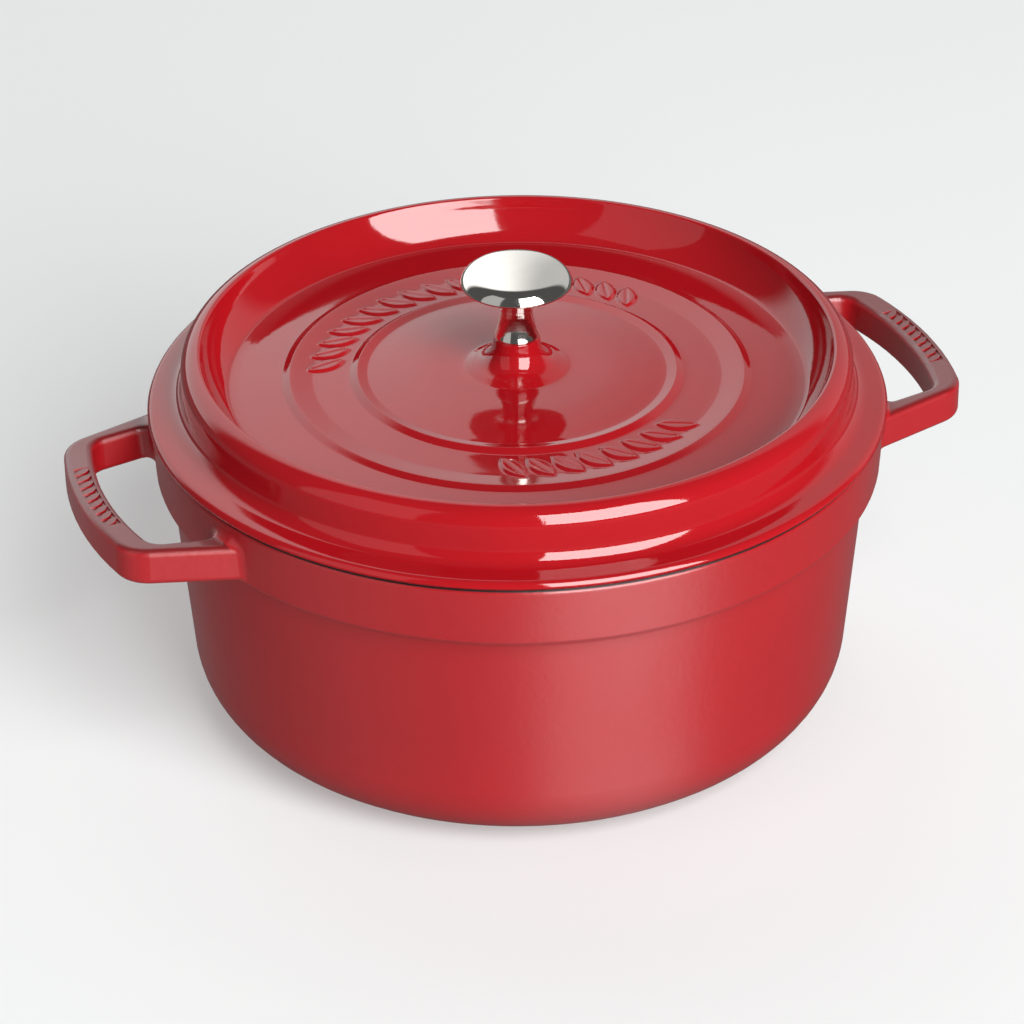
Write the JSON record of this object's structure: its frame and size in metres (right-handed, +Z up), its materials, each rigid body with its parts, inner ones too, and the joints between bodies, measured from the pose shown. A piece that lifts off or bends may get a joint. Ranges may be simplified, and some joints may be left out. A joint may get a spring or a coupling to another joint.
{
  "type": "covered casserole dish",
  "caption": "Round enamelled cast-iron covered casserole dish with loop handles on the collar and a domed-rim lid lifted by a polished metal knob",
  "frame": {"origin": "centre of the foot, on the surface that the dish stands on", "axes": "+Z up along the pot's axis, +X through one handle and -X through the other, -Y the front"},
  "size_m": [0.318, 0.2572, 0.1669],
  "materials": {
    "pot_enamel": "glossy red enamel outside, matt black enamel inside",
    "lid_enamel": "glossy red enamel on top, matt black enamel below",
    "knob_metal": "polished nickel-plated brass",
    "screw_steel": "plain stainless steel",
    "washer_steel": "plain stainless steel",
    "lock_washer_steel": "spring steel"
  },
  "bodies": {
    "pot": {"pot": "pot_enamel"},
    "knob_set": {"knob": "knob_metal", "knob_screw": "screw_steel", "flat_washer": "washer_steel", "lock_washer": "lock_washer_steel"},
    "lid": {"lid": "lid_enamel"}
  },
  "joints": [
    {"name": "lid_lift", "type": "slide", "parent": "pot", "child": "knob_set", "axis": [0, 0, 1], "range_m": [0, 0.15]},
    {"name": "lid_turn", "type": "hinge", "parent": "knob_set", "child": "lid", "pos_m": [0, 0, 0.125], "axis": [0, 0, 1], "continuous": true}
  ]
}
